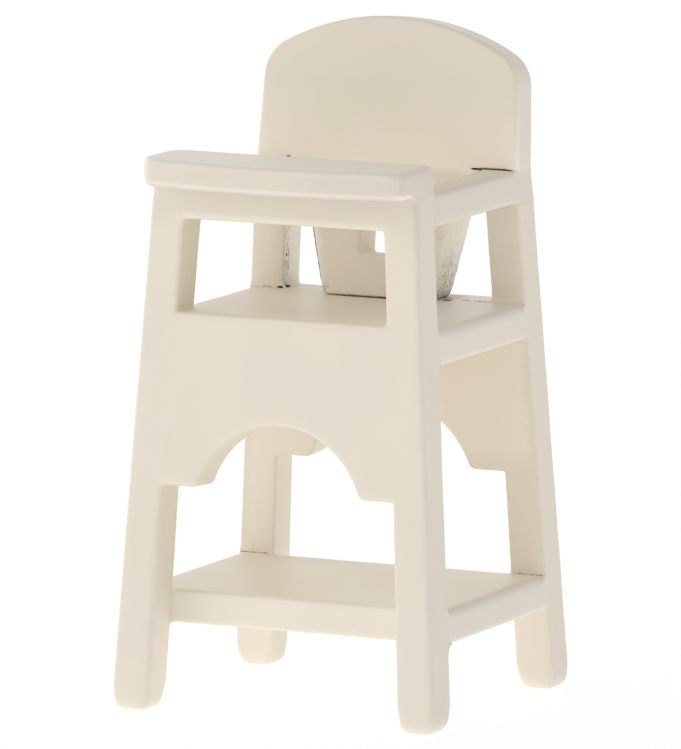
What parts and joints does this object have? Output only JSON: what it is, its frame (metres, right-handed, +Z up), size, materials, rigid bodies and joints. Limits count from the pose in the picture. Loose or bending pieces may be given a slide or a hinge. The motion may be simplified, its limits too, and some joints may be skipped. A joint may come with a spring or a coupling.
{
  "type": "dollhouse high chair",
  "caption": "Small painted wooden high chair for a doll: splayed front and rear panels with arched aprons, a seat, a foot shelf, armrests, a bowed tray and a round-topped reclined back.",
  "frame": {"origin": "on the floor, in the middle of the chair's box, which reaches from the tray's nose to the rear feet", "axes": "+X to the right of someone who looks at the chair's front, +Y from the tray to the backrest, +Z up"},
  "size_m": [0.058, 0.0558, 0.1098],
  "materials": {
    "cream_paint": "thick satin cream paint over wood, with softened edges",
    "bare_wood": "bare beech, turned and chamfered"
  },
  "bodies": {
    "root": {"front_panel": "cream_paint", "rear_panel": "cream_paint", "seat_board": "cream_paint", "foot_shelf": "cream_paint", "left_armrest": "cream_paint", "right_armrest": "cream_paint", "tray": "cream_paint", "backrest": "cream_paint", "seat_dowels": "bare_wood", "shelf_dowels": "bare_wood", "armrest_dowels": "bare_wood", "tray_dowels": "bare_wood", "back_dowels": "bare_wood"}
  },
  "joints": []
}
